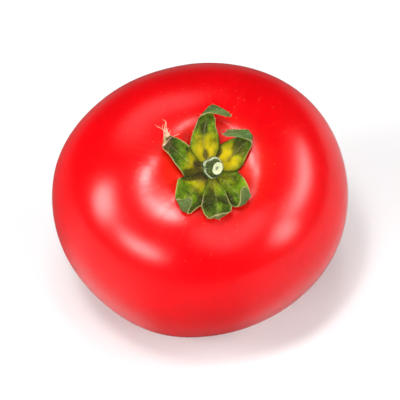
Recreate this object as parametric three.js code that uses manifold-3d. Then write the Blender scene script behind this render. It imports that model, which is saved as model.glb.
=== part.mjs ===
// A ripe round tomato with its green calyx and a stub of stem, leaning over on a small flat spot.
// Millimetres, +Z up, the flat spot on z = 0 and the middle of the fruit's box over the origin.

import * as THREE from "three";
import { mergeVertices } from "three/addons/utils/BufferGeometryUtils.js";
import Module from "manifold-3d";

const wasm = await Module();
wasm.setup();

const { DEG2RAD } = THREE.MathUtils;

// ---- Fruit: the driving sizes, in its own frame with the stem end at +Z ----
const FRUIT_WIDTH = 75.6;
const FRUIT_DEPTH = 69.4;
const FRUIT_SHOULDER_RISE = 28.5;
const FRUIT_BASE_DROP = 30;
const WIDE_AXIS_TURN = 14;
const SHOULDER_SQUARENESS = 2.3;
const TOP_FULLNESS = 0.035;

// Broad swellings round the fruit: how many, how far out as a share of the radius, and where.
const SWELLINGS = [
  { count: 3, share: 0.009, turn: 44 },
  { count: 4, share: 0.008, turn: -21 },
  { count: 5, share: 0.0035, turn: -33 },
];

// The hollow that the stem end sits in, the furrows that run out of it, and the blossom end.
const STEM_HOLLOW_DEPTH = 5.6;
const STEM_HOLLOW_RADIUS = 10.5;
const FURROW_COUNT = 5;
const FURROW_DEPTH = 0.5;
const FURROW_DISTANCE = 15;
const FURROW_SPREAD = 7.5;
const FURROW_TURN = 70;
const BLOSSOM_HOLLOW_DEPTH = 1.6;
const BLOSSOM_HOLLOW_RADIUS = 7;

// How the fruit leans, in degrees, and how much of its underside is pressed flat.
const LEAN_FORWARD = 22;
const LEAN_RIGHT = 6;
const FLAT_SPOT_PRESS = 1.1;

// Mesh steps round and down the fruit, and the small turns that measure its slope and walk on it.
const FRUIT_ROUND_STEPS = 64;
const FRUIT_POLE_STEPS = 44;
const SLOPE_TURN = 0.004;
const WALK_TURN = 0.0005;
const MERGE_DISTANCE = 1e-4;

// ---- Calyx and stem ----
const SKIN_CLEARANCE = 0.3;
const CALYX_GAP = 0.5;

const HUB_RADIUS = 3;
const HUB_HEIGHT = 1.5;
const HUB_CHAMFER = 0.5;
const HUB_SEGMENTS = 30;

const STEM_DIAMETER = 4.8;
const STEM_LENGTH = 4;
const STEM_CUT_DIAMETER = 3.2;
const STEM_KNUCKLE_SWELL = 0.35;
const STEM_BEND = 48;
const STEM_BEND_TOWARDS = -38;
const STEM_GAP = 0.3;
const STEM_SEGMENTS = 24;

const SEPAL_THICKNESS = 0.9;
const SEPAL_TIP_WIDTH = 0.6;
const SEPAL_BASE_SHARE = 0.72;
const SEPAL_WIDEST_AT = 0.34;
const SEPAL_TIP_FULLNESS = 1.3;
const SEPAL_CUP = 0.55;
const SEPAL_ACROSS_STEPS = 4;
const SEPAL_ALONG_STEPS = 18;

// Each sepal: where it leaves the hub and how far it swings round from there, its length and
// width, how far it stands off the skin, and its rolled tip: where the roll starts, its radius,
// how far round it goes and how much it skews.
const SEPALS = [
  {
    name: "sepal_back",
    turn: 114, swing: -16, length: 17, width: 6.8, lift: 1.2,
    rollAt: 9, rollRadius: 1.6, rollAngle: 165, rollSkew: 36,
  },
  {
    name: "sepal_back_right",
    turn: 32, swing: 6, length: 17, width: 5.8, lift: 1,
    rollAt: 7.6, rollRadius: 1.5, rollAngle: 170, rollSkew: -27,
  },
  {
    name: "sepal_front_right",
    turn: -44, swing: -6, length: 13, width: 7.2, lift: 0.9,
    rollAt: 7.8, rollRadius: 2, rollAngle: 110, rollSkew: -12,
  },
  {
    name: "sepal_front",
    turn: -80, swing: -5, length: 14.5, width: 7, lift: 0.9,
    rollAt: 8.6, rollRadius: 1.9, rollAngle: 125, rollSkew: 8,
  },
  {
    name: "sepal_front_left",
    turn: -131, swing: 8, length: 15, width: 7.6, lift: 0.9,
    rollAt: 8.4, rollRadius: 2, rollAngle: 140, rollSkew: 12,
  },
  {
    name: "sepal_left",
    turn: 174, swing: -18, length: 12.5, width: 6.8, lift: 1.2,
    rollAt: 8.6, rollRadius: 2.4, rollAngle: 70, rollSkew: 0,
  },
];

// ---- Finishes ----
const FINISHES = {
  skin: { color: "#e0121c", roughness: 0.28 },
  hub: { color: "#5f7a1f", roughness: 0.6 },
  stem: { color: "#6d8046", roughness: 0.65 },
  sepal: { color: "#5c8a26", roughness: 0.55 },
};

function finish(name) {
  return new THREE.MeshStandardMaterial({ ...FINISHES[name], metalness: 0 });
}

function namedMesh(name, geometry, finishName) {
  geometry.computeVertexNormals();
  const mesh = new THREE.Mesh(geometry, finish(finishName));
  mesh.name = name;
  return mesh;
}

// ---- The fruit's skin ----

// Radius of the fruit at its widest level, in the direction `turn` round the stem axis.
function girth(turn) {
  const angle = turn - WIDE_AXIS_TURN * DEG2RAD;
  const across = Math.cos(angle) / (FRUIT_WIDTH / 2);
  const along = Math.sin(angle) / (FRUIT_DEPTH / 2);
  let radius = 1 / Math.hypot(across, along);
  for (const { count, share, turn: peak } of SWELLINGS) {
    radius *= 1 + share * Math.cos(count * (turn - peak * DEG2RAD));
  }
  return radius;
}

function bell(distance, radius) {
  return Math.exp(-((distance / radius) ** 2));
}

// A point of the skin: `polar` is 0 at the stem end and pi at the blossom end.
function skinPoint(polar, turn) {
  const out = Math.abs(Math.sin(polar));
  const up = Math.cos(polar);
  const size = (out ** SHOULDER_SQUARENESS + Math.abs(up) ** SHOULDER_SQUARENESS)
    ** (-1 / SHOULDER_SQUARENESS);
  const radius = out * size * girth(turn) * (1 + TOP_FULLNESS * up);
  let height = up * size * (up > 0 ? FRUIT_SHOULDER_RISE : FRUIT_BASE_DROP);
  if (up > 0) {
    const furrow = 0.5 + 0.5 * Math.cos(FURROW_COUNT * (turn - FURROW_TURN * DEG2RAD));
    const reach = bell(radius - FURROW_DISTANCE, FURROW_SPREAD);
    height -= STEM_HOLLOW_DEPTH * bell(radius, STEM_HOLLOW_RADIUS);
    height -= FURROW_DEPTH * furrow * reach * Math.min(1, radius / FURROW_DISTANCE);
  } else {
    height += BLOSSOM_HOLLOW_DEPTH * bell(radius, BLOSSOM_HOLLOW_RADIUS);
  }
  return new THREE.Vector3(radius * Math.cos(turn), radius * Math.sin(turn), height);
}

// The outward direction of the skin there.
function skinNormal(polar, turn) {
  const middle = Math.max(polar, SLOPE_TURN * 2);
  const down = skinPoint(middle + SLOPE_TURN, turn).sub(skinPoint(middle - SLOPE_TURN, turn));
  const round = skinPoint(middle, turn + SLOPE_TURN).sub(skinPoint(middle, turn - SLOPE_TURN));
  return down.cross(round).normalize();
}

function fruitGeometry() {
  const ball = new THREE.SphereGeometry(1, FRUIT_ROUND_STEPS, FRUIT_POLE_STEPS);
  ball.rotateX(Math.PI / 2);
  const places = ball.attributes.position;
  const at = new THREE.Vector3();
  for (let i = 0; i < places.count; i += 1) {
    at.fromBufferAttribute(places, i);
    const polar = Math.acos(THREE.MathUtils.clamp(at.z, -1, 1));
    const place = skinPoint(polar, Math.atan2(at.y, at.x));
    places.setXYZ(i, place.x, place.y, place.z);
  }
  return ball;
}

// ---- Cutting the flat spot ----

function toSolid(geometry) {
  const bare = geometry.clone();
  bare.deleteAttribute("normal");
  bare.deleteAttribute("uv");
  const merged = mergeVertices(bare, MERGE_DISTANCE);
  return new wasm.Manifold(new wasm.Mesh({
    numProp: 3,
    vertProperties: new Float32Array(merged.attributes.position.array),
    triVerts: new Uint32Array(merged.index.array),
  }));
}

function toGeometry(solid) {
  const mesh = solid.getMesh();
  const geometry = new THREE.BufferGeometry();
  geometry.setAttribute("position", new THREE.BufferAttribute(mesh.vertProperties, 3));
  geometry.setIndex(new THREE.BufferAttribute(mesh.triVerts, 1));
  return geometry;
}

// The lean as a turn of the whole fruit about its own centre.
const lean = new THREE.Quaternion().setFromEuler(
  new THREE.Euler(LEAN_FORWARD * DEG2RAD, LEAN_RIGHT * DEG2RAD, 0),
);

function boxOf(geometry) {
  const turned = geometry.clone().applyQuaternion(lean);
  turned.computeBoundingBox();
  return turned.boundingBox;
}

// Presses the lowest side of the leaning fruit flat.
function withFlatSpot(geometry) {
  const lowest = boxOf(geometry).min.z;
  const slab = new THREE.BoxGeometry(FRUIT_WIDTH, FRUIT_WIDTH, FRUIT_WIDTH);
  slab.translate(0, 0, lowest + FLAT_SPOT_PRESS - FRUIT_WIDTH / 2);
  slab.applyQuaternion(lean.clone().invert());
  return toGeometry(toSolid(geometry).subtract(toSolid(slab)));
}

// ---- Calyx hub: a low disc in the bottom of the stem hollow ----

const hollowFloor = skinPoint(0, 0).z;

// How high the hollow's own floor rises at this distance from the stem axis.
function hollowRise(radius) {
  return STEM_HOLLOW_DEPTH * (1 - bell(radius, STEM_HOLLOW_RADIUS));
}

const hubFoot = hollowFloor + SKIN_CLEARANCE;
const hubTop = hubFoot + hollowRise(HUB_RADIUS) + HUB_HEIGHT;

function hubGeometry() {
  const profile = [new THREE.Vector2(0, hubFoot)];
  for (const share of [0.35, 0.7, 1]) {
    const radius = HUB_RADIUS * share;
    profile.push(new THREE.Vector2(radius, hubFoot + hollowRise(radius)));
  }
  profile.push(new THREE.Vector2(HUB_RADIUS, hubTop - HUB_CHAMFER));
  profile.push(new THREE.Vector2(HUB_RADIUS - HUB_CHAMFER, hubTop));
  profile.push(new THREE.Vector2(0, hubTop));
  return new THREE.LatheGeometry(profile, HUB_SEGMENTS).rotateX(Math.PI / 2);
}

// ---- Stem stub: a short knuckled stub that bends over to one side ----

// The outline is a list of radii, each with the share of the stub's length where it lies.
function stemGeometry() {
  const wall = STEM_DIAMETER / 2;
  const knuckle = wall + STEM_KNUCKLE_SWELL;
  const profile = [
    [0, 0],
    [wall * 0.94, 0],
    [wall, 0.12],
    [wall, 0.3],
    [knuckle, 0.45],
    [knuckle, 0.6],
    [wall * 0.96, 0.76],
    [(wall + STEM_CUT_DIAMETER / 2) / 2, 0.92],
    [STEM_CUT_DIAMETER / 2, 1],
    [0, 1],
  ].map(([radius, share]) => new THREE.Vector2(radius, share * STEM_LENGTH));
  const stub = new THREE.LatheGeometry(profile, STEM_SEGMENTS).rotateX(Math.PI / 2);
  const bend = STEM_BEND * DEG2RAD;
  const bendRadius = STEM_LENGTH / bend;
  const places = stub.attributes.position;
  for (let i = 0; i < places.count; i += 1) {
    const angle = (places.getZ(i) / STEM_LENGTH) * bend;
    const reach = bendRadius - places.getX(i);
    places.setXYZ(i, bendRadius - reach * Math.cos(angle), places.getY(i), reach * Math.sin(angle));
  }
  return stub;
}

// ---- Sepals ----

function smooth(from, to, value) {
  return THREE.MathUtils.smoothstep(value, from, to);
}

// The first frame of a sepal's midline past the hub, then one for each stride along the skin.
function skinFrames(sepal, stride) {
  const start = HUB_RADIUS + CALYX_GAP + SEPAL_THICKNESS / 2;
  let polar = WALK_TURN;
  while (skinPoint(polar, sepal.turn * DEG2RAD).setZ(0).length() < start) {
    polar += WALK_TURN;
  }
  const frames = [];
  for (let walked = 0; walked <= sepal.rollAt; walked += stride) {
    const turn = (sepal.turn + sepal.swing * (walked / sepal.rollAt)) * DEG2RAD;
    const normal = skinNormal(polar, turn);
    const risen = sepal.lift * smooth(0, sepal.rollAt, walked);
    const away = SKIN_CLEARANCE + SEPAL_THICKNESS / 2 + risen;
    const at = skinPoint(polar, turn).addScaledVector(normal, away);
    const side = new THREE.Vector3(Math.sin(turn), -Math.cos(turn), 0);
    frames.push({ turn, at, side, normal, along: normal.clone().cross(side).normalize() });
    const tinyWalk = skinPoint(polar + WALK_TURN, turn).distanceTo(skinPoint(polar, turn));
    polar += (stride / tinyWalk) * WALK_TURN;
  }
  return frames;
}

// The frames of the whole midline: along the skin, then round the roll, then straight on.
function sepalFrames(sepal) {
  const stride = sepal.length / SEPAL_ALONG_STEPS;
  const frames = skinFrames(sepal, stride);
  const skew = sepal.rollSkew * DEG2RAD;
  const fold = frames[frames.length - 1];
  const axis = fold.side.clone().multiplyScalar(Math.cos(skew))
    .addScaledVector(fold.along, Math.sin(skew));
  let left = sepal.rollAngle * DEG2RAD;
  while (frames.length <= SEPAL_ALONG_STEPS) {
    const last = frames[frames.length - 1];
    const angle = Math.min(left, (stride * Math.cos(skew)) / sepal.rollRadius);
    const half = new THREE.Quaternion().setFromAxisAngle(axis, angle / 2);
    const whole = new THREE.Quaternion().setFromAxisAngle(axis, angle);
    const heading = last.along.clone().applyQuaternion(half);
    frames.push({
      turn: last.turn,
      at: last.at.clone().addScaledVector(heading, stride),
      along: last.along.clone().applyQuaternion(whole),
      side: last.side.clone().applyQuaternion(whole),
      normal: last.normal.clone().applyQuaternion(whole),
    });
    left -= angle;
  }
  return frames;
}

// Half the width that the outline of a sepal has at this share of its length.
function sepalHalfWidth(sepal, share) {
  const grow = THREE.MathUtils.lerp(SEPAL_BASE_SHARE, 1, smooth(0, SEPAL_WIDEST_AT, share));
  const taper = 1 - smooth(SEPAL_WIDEST_AT, 1, share) ** SEPAL_TIP_FULLNESS;
  return Math.max(SEPAL_TIP_WIDTH, sepal.width * grow * taper) / 2;
}

// The least angle from one sepal round to another, at their feet and where they start to roll.
function angleBetween(sepal, other) {
  const atFoot = THREE.MathUtils.euclideanModulo(other.turn - sepal.turn, 360);
  const atRoll = THREE.MathUtils.euclideanModulo(atFoot + other.swing - sepal.swing, 360);
  return Math.min(atFoot, atRoll) * DEG2RAD;
}

// Seen from above, which side of the ray from the stem axis along `turn` a place is on, and how far.
function leftOfRay(turn, place) {
  return Math.cos(turn) * place.y - Math.sin(turn) * place.x;
}

// How far the blade may reach to one side, -1 left or 1 right, before it leaves its own sector.
function spaceBeside({ turn, at, side }, room, hand) {
  const ray = turn - hand * room;
  const clear = hand * leftOfRay(ray, at) - CALYX_GAP / 2;
  const closing = -leftOfRay(ray, side);
  return closing > 0 ? Math.max(clear, 0) / closing : Infinity;
}

function sepalGeometry(sepal) {
  const others = SEPALS.filter((other) => other !== sepal);
  const leftRoom = Math.min(...others.map((other) => angleBetween(sepal, other))) / 2;
  const rightRoom = Math.min(...others.map((other) => angleBetween(other, sepal))) / 2;
  const frames = sepalFrames(sepal);
  const sheet = new THREE.BoxGeometry(1, 1, 1, SEPAL_ACROSS_STEPS, SEPAL_ALONG_STEPS, 1);
  const places = sheet.attributes.position;
  for (let i = 0; i < places.count; i += 1) {
    const share = places.getY(i) + 0.5;
    const frame = frames[Math.round(share * SEPAL_ALONG_STEPS)];
    const across = places.getX(i) * 2;
    const hand = across < 0 ? -1 : 1;
    const space = spaceBeside(frame, hand < 0 ? leftRoom : rightRoom, hand);
    const half = Math.min(sepalHalfWidth(sepal, share), Math.max(space, SEPAL_TIP_WIDTH / 2));
    const cup = SEPAL_CUP * across * across * Math.min(1, half / (sepal.width / 2));
    const place = frame.at.clone()
      .addScaledVector(frame.side, across * half)
      .addScaledVector(frame.normal, places.getZ(i) * SEPAL_THICKNESS + cup);
    places.setXYZ(i, place.x, place.y, place.z);
  }
  return sheet;
}

// ---- The whole tomato ----

const fruit = namedMesh("fruit", withFlatSpot(fruitGeometry()), "skin");
const hub = namedMesh("calyx_hub", hubGeometry(), "hub");
const stem = namedMesh("stem_stub", stemGeometry(), "stem");
stem.rotation.z = STEM_BEND_TOWARDS * DEG2RAD;
stem.position.z = hubTop + STEM_GAP;

const leaning = new THREE.Group();
leaning.add(fruit, hub, stem);
for (const sepal of SEPALS) {
  leaning.add(namedMesh(sepal.name, sepalGeometry(sepal), "sepal"));
}
const fruitBox = boxOf(fruit.geometry);
leaning.quaternion.copy(lean);
leaning.position.set(
  -(fruitBox.min.x + fruitBox.max.x) / 2,
  -(fruitBox.min.y + fruitBox.max.y) / 2,
  -fruitBox.min.z,
);

const tomato = new THREE.Group();
tomato.add(leaning);

export default tomato;
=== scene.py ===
"""A ripe tomato with its green calyx and a stub of stem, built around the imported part.

The fruit's skin is one formula, in its own frame with the stem end at +Z. It is the formula that
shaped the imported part, with a narrower hollow, and every calyx piece is laid on it before the
whole fruit leans over.
"""

import math
import random
from dataclasses import dataclass

import bmesh
import bpy
from bpy.props import FloatProperty, FloatVectorProperty, IntProperty, PointerProperty
from mathutils import Matrix, Quaternion, Vector, noise


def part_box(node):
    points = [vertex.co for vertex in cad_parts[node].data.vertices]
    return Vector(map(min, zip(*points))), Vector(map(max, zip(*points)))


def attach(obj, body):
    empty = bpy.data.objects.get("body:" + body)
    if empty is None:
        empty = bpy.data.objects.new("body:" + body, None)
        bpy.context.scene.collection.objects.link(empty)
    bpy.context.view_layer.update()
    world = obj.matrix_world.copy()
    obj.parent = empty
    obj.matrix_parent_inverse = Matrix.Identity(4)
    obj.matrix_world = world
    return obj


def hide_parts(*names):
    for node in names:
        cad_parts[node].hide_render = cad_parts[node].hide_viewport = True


bl_info = {
    "name": "Ripe Tomato",
    "version": (1, 0, 0),
    "blender": (4, 5, 0),
    "location": "3D View > Sidebar > Tomato",
    "description": "Builds a ripe tomato with its calyx around the packed part",
    "category": "Mesh",
}

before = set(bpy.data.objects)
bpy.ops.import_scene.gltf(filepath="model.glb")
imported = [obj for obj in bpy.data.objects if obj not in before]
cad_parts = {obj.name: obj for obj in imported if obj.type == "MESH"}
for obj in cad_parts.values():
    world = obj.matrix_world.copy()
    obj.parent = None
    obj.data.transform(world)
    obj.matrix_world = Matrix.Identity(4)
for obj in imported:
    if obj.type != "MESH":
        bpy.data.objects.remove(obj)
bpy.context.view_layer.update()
BODY = "root"
MM = 0.001

# ---- Shapes that a user leaves alone, in metres and radians: the fruit ----
SHOULDER_SQUARENESS = 2.3
TOP_FULLNESS = 0.035
SWELLINGS = (
    (3, 0.009, math.radians(44)),
    (4, 0.008, math.radians(-21)),
    (5, 0.0035, math.radians(-33)),
)
FURROW_COUNT = 5
FURROW_DEPTH = 0.5 * MM
FURROW_DISTANCE = 15 * MM
FURROW_SPREAD = 7.5 * MM
FURROW_TURN = math.radians(70)
BLOSSOM_HOLLOW_DEPTH = 1.6 * MM
BLOSSOM_HOLLOW_RADIUS = 7 * MM
UNEVEN_DEPTH = 0.13 * MM
UNEVEN_GRAIN = 2.6
RIM_UNEVEN_DEPTH = 0.2 * MM
RIM_UNEVEN_GRAIN = 1.7
RIM_UNEVEN_SEED = 4.2
SLOPE_TURN = 0.004
WALK_TURN = 0.0005
PRESS_EDGE = 0.6 * MM
REST_RINGS = 90
REST_SPOKES = 120

# ---- The calyx. An outline runs from below to the top, as how far out and how high: the cushion's
# in millimetres, the stub's as shares of its wall's or cut end's radius and of its length ----
SPIN_STEPS = 48
CUSHION_OUTLINE = (
    (0, 0.1), (1.6, 0.15), (2.9, 0.5), (3.1, 0.8), (2.9, 1.15), (2.3, 1.6), (1.7, 2), (0, 2.1),
)
CUSHION_LOBES = 0.07
CUSHION_UNEVEN = 0.05
CUSHION_GRAIN = 900
STUB_FOOT = 2.15 * MM
STUB_WALL = (
    (0, -0.12), (0.98, -0.12), (1.03, 0), (0.99, 0.12), (0.97, 0.26), (1.1, 0.36), (1.18, 0.44),
    (1.16, 0.52), (1.02, 0.58), (0.92, 0.64), (0.9, 0.74),
)
STUB_CUT = (
    (1.12, 0.88), (1.08, 0.95), (1, 0.99), (0.9, 1), (0.7, 0.985), (0.4, 0.965), (0.2, 0.93),
    (0, 0.92),
)
STUB_RIDGES = 7
STUB_RIDGE_HEIGHT = 0.03
STUB_UNEVEN = 0.2
STUB_GRAIN = 480
CUT_EDGE = 1.02
CUT_FROM = 0.9
# Where the painted highlight rings the stub's knuckle, as a share of its length
KNUCKLE_HIGHLIGHT_AT = 0.56
STRAND_COUNT = 10
STRAND_STEPS = 7
STRAND_LENGTH = 5.5 * MM
STRAND_RADIUS = 0.22 * MM
STRAND_SPREAD = 1.7 * MM
STRAND_KINK = 0.06
HAIR_RADIUS = 0.035 * MM
HAIR_LEAN = 0.45
HAIR_STAND = 0.4
SEPAL_TIP_HALF = 0.2 * MM
SEPAL_TIP_FROM = 0.9
SEPAL_TIP_SHARE = 0.35
SEPAL_LAP = 0.2 * MM
SEPAL_ALONG_STEPS = 48
SEPAL_ACROSS_STEPS = 16
SEPAL_RAGGED = 0.1
DENT_STRETCH = 0.7
GROOVE_SPREAD = 0.16

# How much of a sepal's crumpling is in its rim's waves, its folds, its ribs and its puckers
RIM_WAVES = 1.6
FOLDS = 1.1
RIBS = 0.12
PUCKERS = 0.8

# ---- Colours and finishes that a user leaves alone ----
CUSHION_COLOURS = (0.1, 0.12, 0.03), (0.05, 0.035, 0.015)
STUB_COLOURS = (0.07, 0.1, 0.015), (0.012, 0.018, 0.004)
FIBRE = (0.4, 0.42, 0.2)
# The painted highlight ring on the stub's knuckle
KNUCKLE_HIGHLIGHT = (0.42, 0.46, 0.28)
PITH_COLOURS = (0.72, 0.74, 0.46), (0.45, 0.5, 0.26)
PITH_MIDDLE = (0.2, 0.2, 0.1)
STRAW = (0.74, 0.5, 0.36)
DOWN_COLOURS = (0.32, 0.4, 0.2), (0.55, 0.6, 0.42)
GRAIN_ROUGHNESS = 0.2
SKIN_COAT = 0.06


@dataclass(frozen=True)
class Sepal:
    """One sepal, with angles in degrees and lengths in millimetres.

    `widths` are its widths at its foot, its quarters and its tip. Each of its `dents` is how far
    across (-1 to 1) and along (0 to 1) it lies, its reach, and its depth, below 0 for a swelling.
    """

    name: str
    turn: float
    swing: float
    length: float
    widths: tuple
    lift: float
    roll_at: float
    roll_radius: float
    roll_angle: float
    roll_skew: float
    tip_curl: float
    layer: float
    yellow: float
    shade: float
    dry: float
    brown_foot: float
    dents: tuple


SEPALS = (
    Sepal(
        "sepal_back", turn=114, swing=-16, length=17.8, widths=(8.5, 8.2, 4.9, 2.5, 1.2),
        lift=1.2, roll_at=8.5, roll_radius=1.15, roll_angle=172, roll_skew=43, tip_curl=35,
        layer=0.12, yellow=0.85, shade=0.5, dry=0.1, brown_foot=0.2,
        dents=(
            (-0.1, 0.45, 1.4, 0.7), (0.8, 0.3, 1.1, 0.35), (-0.5, 0.24, 1.0, -0.3),
            (0.1, 0.11, 0.8, 0.55),
        ),
    ),
    Sepal(
        "sepal_back_right", turn=32, swing=6, length=17, widths=(7.6, 7.6, 4.2, 2.1, 1.9),
        lift=1.0, roll_at=7.8, roll_radius=1.1, roll_angle=172, roll_skew=-25, tip_curl=-20,
        layer=0, yellow=0.95, shade=0.4, dry=0.15, brown_foot=0.15,
        dents=(
            (-0.3, 0.38, 1.3, 0.6), (0.5, 0.2, 1.0, -0.3), (-0.7, 0.14, 0.9, 0.45),
            (0.5, 0.34, 0.9, 0.3),
        ),
    ),
    Sepal(
        "sepal_front_right", turn=-44, swing=-6, length=13.6, widths=(8.2, 8.4, 7.4, 4.2, 2.0),
        lift=0.9, roll_at=8.4, roll_radius=1.1, roll_angle=150, roll_skew=-5, tip_curl=25,
        layer=0, yellow=0.15, shade=0.1, dry=0.1, brown_foot=0.3,
        dents=((0.75, 0.5, 1.2, 0.7), (-0.1, 0.5, 1.2, -0.45), (-0.6, 0.3, 1.1, 0.45)),
    ),
    Sepal(
        "sepal_front", turn=-80, swing=-5, length=12.6, widths=(8.2, 8.9, 8.8, 6.4, 3.0),
        lift=0.9, roll_at=8.8, roll_radius=1.6, roll_angle=110, roll_skew=10, tip_curl=0,
        layer=0.3, yellow=0.25, shade=0.55, dry=0.15, brown_foot=0.5,
        dents=(
            (0.65, 0.55, 1.6, 0.9), (-0.75, 0.52, 0.9, 0.7), (-0.15, 0.64, 1.0, -0.6),
            (0.3, 0.32, 0.9, 0.45), (-0.4, 0.32, 0.9, -0.5), (-0.3, 0.48, 0.7, 0.5),
        ),
    ),
    Sepal(
        "sepal_front_left", turn=-131, swing=8, length=14.4, widths=(8.4, 8.9, 8.4, 4.8, 1.8),
        lift=0.9, roll_at=9.4, roll_radius=1.0, roll_angle=165, roll_skew=-16, tip_curl=-25,
        layer=0, yellow=0.65, shade=0.3, dry=0.1, brown_foot=0.95,
        dents=(
            (0.8, 0.24, 1.3, 0.8), (-0.8, 0.54, 1.3, 0.8), (-0.2, 0.38, 1.0, 0.45),
            (0.2, 0.57, 0.9, -0.6), (-0.2, 0.5, 0.9, -0.6), (0.6, 0.6, 0.9, 0.4),
        ),
    ),
    Sepal(
        "sepal_left", turn=174, swing=-18, length=11.8, widths=(8.6, 8.8, 6.6, 4.6, 3.0),
        lift=1.2, roll_at=8.4, roll_radius=2, roll_angle=95, roll_skew=0, tip_curl=0,
        layer=0.15, yellow=0.9, shade=0.9, dry=0.5, brown_foot=0.8,
        dents=(
            (-0.7, 0.26, 1.3, 0.8), (0.75, 0.42, 1.0, 0.7), (0.1, 0.72, 1.4, 0.6),
            (-0.2, 0.44, 1.2, -0.4), (0.3, 0.16, 0.8, 0.6),
        ),
    ),
)


# ---- Settings ----

def length(name, description, value):
    return FloatProperty(
        name=name, description=description, default=value, unit="LENGTH", precision=5
    )


def angle(name, description, degrees):
    return FloatProperty(
        name=name, description=description, default=math.radians(degrees), subtype="ANGLE"
    )


def share(name, description, value):
    return FloatProperty(
        name=name, description=description, default=value, min=0, max=1, subtype="FACTOR"
    )


def colour(name, description, value):
    return FloatVectorProperty(
        name=name, description=description, default=value, size=3, min=0, max=1, subtype="COLOR"
    )


class TomatoFruitSettings(bpy.types.PropertyGroup):
    """The fruit's own sizes and the colours of its skin."""

    width: length("Width", "Across the fruit the wide way", 75.6 * MM)
    depth: length("Depth", "Across the fruit the narrow way", 69.4 * MM)
    shoulder_rise: length("Shoulder rise", "From the widest level up to the shoulder", 28.5 * MM)
    base_drop: length("Base drop", "From the widest level down to the base", 30 * MM)
    wide_turn: angle("Wide axis", "Where the wide way lies round the stem axis", 14)
    hollow_depth: length("Hollow depth", "Depth of the hollow at the stem end", 5.6 * MM)
    hollow_radius: length("Hollow radius", "Reach of the hollow at the stem end", 8.7 * MM)
    lean_forward: angle("Lean forward", "How far the stem end tips to the front", 22)
    lean_right: angle("Lean right", "How far the stem end tips to the right", 6)
    press: length("Pressed flat", "How much of the underside is pressed flat", 1.1 * MM)
    fineness: IntProperty(
        name="Fineness", description="How often the starting ball is divided", default=7, min=4, max=7
    )
    red: colour("Red", "The ripe skin", (0.64, 0.0, 0.003))
    deep_red: colour("Deep red", "The skin where it is ripest", (0.55, 0.0, 0.002))
    warm_red: colour("Warm red", "The skin beside the calyx", (0.72, 0.016, 0.003))
    speck: colour("Specks", "The pale specks on the shoulder", (0.95, 0.2, 0.12))
    scar: colour("Scar", "The corky scar of the blossom", (0.25, 0.12, 0.05))


class TomatoCalyxSettings(bpy.types.PropertyGroup):
    """The calyx and the stub of stem."""

    foot_radius: length("Foot radius", "Where a sepal starts, from the stem axis", 2.2 * MM)
    packed_foot_radius: length("Packed foot", "Where the packed sepal starts", 3.95 * MM)
    foot_rise: length("Foot rise", "How much a sepal's foot rises to the stem", 0.9 * MM)
    clearance: length("Clearance", "Between the skin and a sepal", 0.15 * MM)
    thickness: length("Thickness", "Of a sepal along its middle", 0.5 * MM)
    rim_thickness: length("Rim thickness", "Of a sepal along its rim", 0.26 * MM)
    cup: length("Cup", "How much the rims of a sepal stand up", 0.6 * MM)
    groove: length("Groove", "Depth of the groove along a sepal's middle", 0.22 * MM)
    crumple: length("Crumple", "How much a sepal is crumpled", 0.42 * MM)
    stem_length: length("Stem length", "Of the stub, along its bend", 4 * MM)
    stem_radius: length("Stem radius", "Of the stub at its foot", 2.35 * MM)
    cut_radius: length("Cut radius", "Of the stub's cut end", 1.62 * MM)
    stem_bend: angle("Stem bend", "How far the stub bends over", 48)
    stem_towards: angle("Stem towards", "Which way the stub bends over", -38)
    hair_length: length("Hair length", "Of the down on the calyx", 0.55 * MM)
    hair_count: IntProperty(
        name="Hairs", description="How many hairs each sepal has", default=110, min=0, max=600
    )
    yellow: colour("Yellow", "The feet of the sepals", (0.66, 0.49, 0.0))
    green: colour("Green", "The middle of a sepal", (0.13, 0.24, 0.003))
    dark_green: colour("Dark green", "The shaded parts of a sepal", (0.01, 0.032, 0.002))
    underside: colour("Underside", "The back of a sepal", (0.1, 0.18, 0.05))
    rim: colour("Rim", "The dry rim of a sepal", (0.44, 0.38, 0.14))
    # Pale green is painted highlight on the sepals' raised folds.
    pale: colour("Pale green", "Of the sepals' raised folds", (0.26, 0.34, 0.02))
    brown: colour("Brown", "Dead tissue beside the stem", (0.022, 0.012, 0.006))
    # The crease colour is painted shade, in the sepals' hollows and between their feet.
    crease_shade: colour("Crease", "Between the feet of the sepals", (0.022, 0.022, 0.005))
    dry: colour("Dry tissue", "Withered tips and strands", (0.42, 0.22, 0.1))


class TomatoStudioSettings(bpy.types.PropertyGroup):
    """The camera, the floor and the light."""

    elevation: angle("Elevation", "How far the camera looks down", 50)
    distance: length("Distance", "From the camera to the fruit", 0.7)
    fill: share("Fill", "The share of the picture's width that the fruit takes", 0.74)
    floor: colour("Floor", "The floor", (0.7, 0.705, 0.71))
    ambient: FloatProperty(
        name="Ambient", description="Even light from all round", default=0.11, min=0
    )
    softboxes: FloatProperty(
        name="Softboxes", description="Strength of all the softboxes", default=1, min=0
    )


# ---- The fruit's skin as a formula ----

def bell(distance, radius):
    return math.exp(-((distance / radius) ** 2))


def smooth(low, high, value):
    t = min(1, max(0, (value - low) / (high - low)))
    return t * t * (3 - 2 * t)


def lerp(low, high, t):
    return low + (high - low) * t


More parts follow.
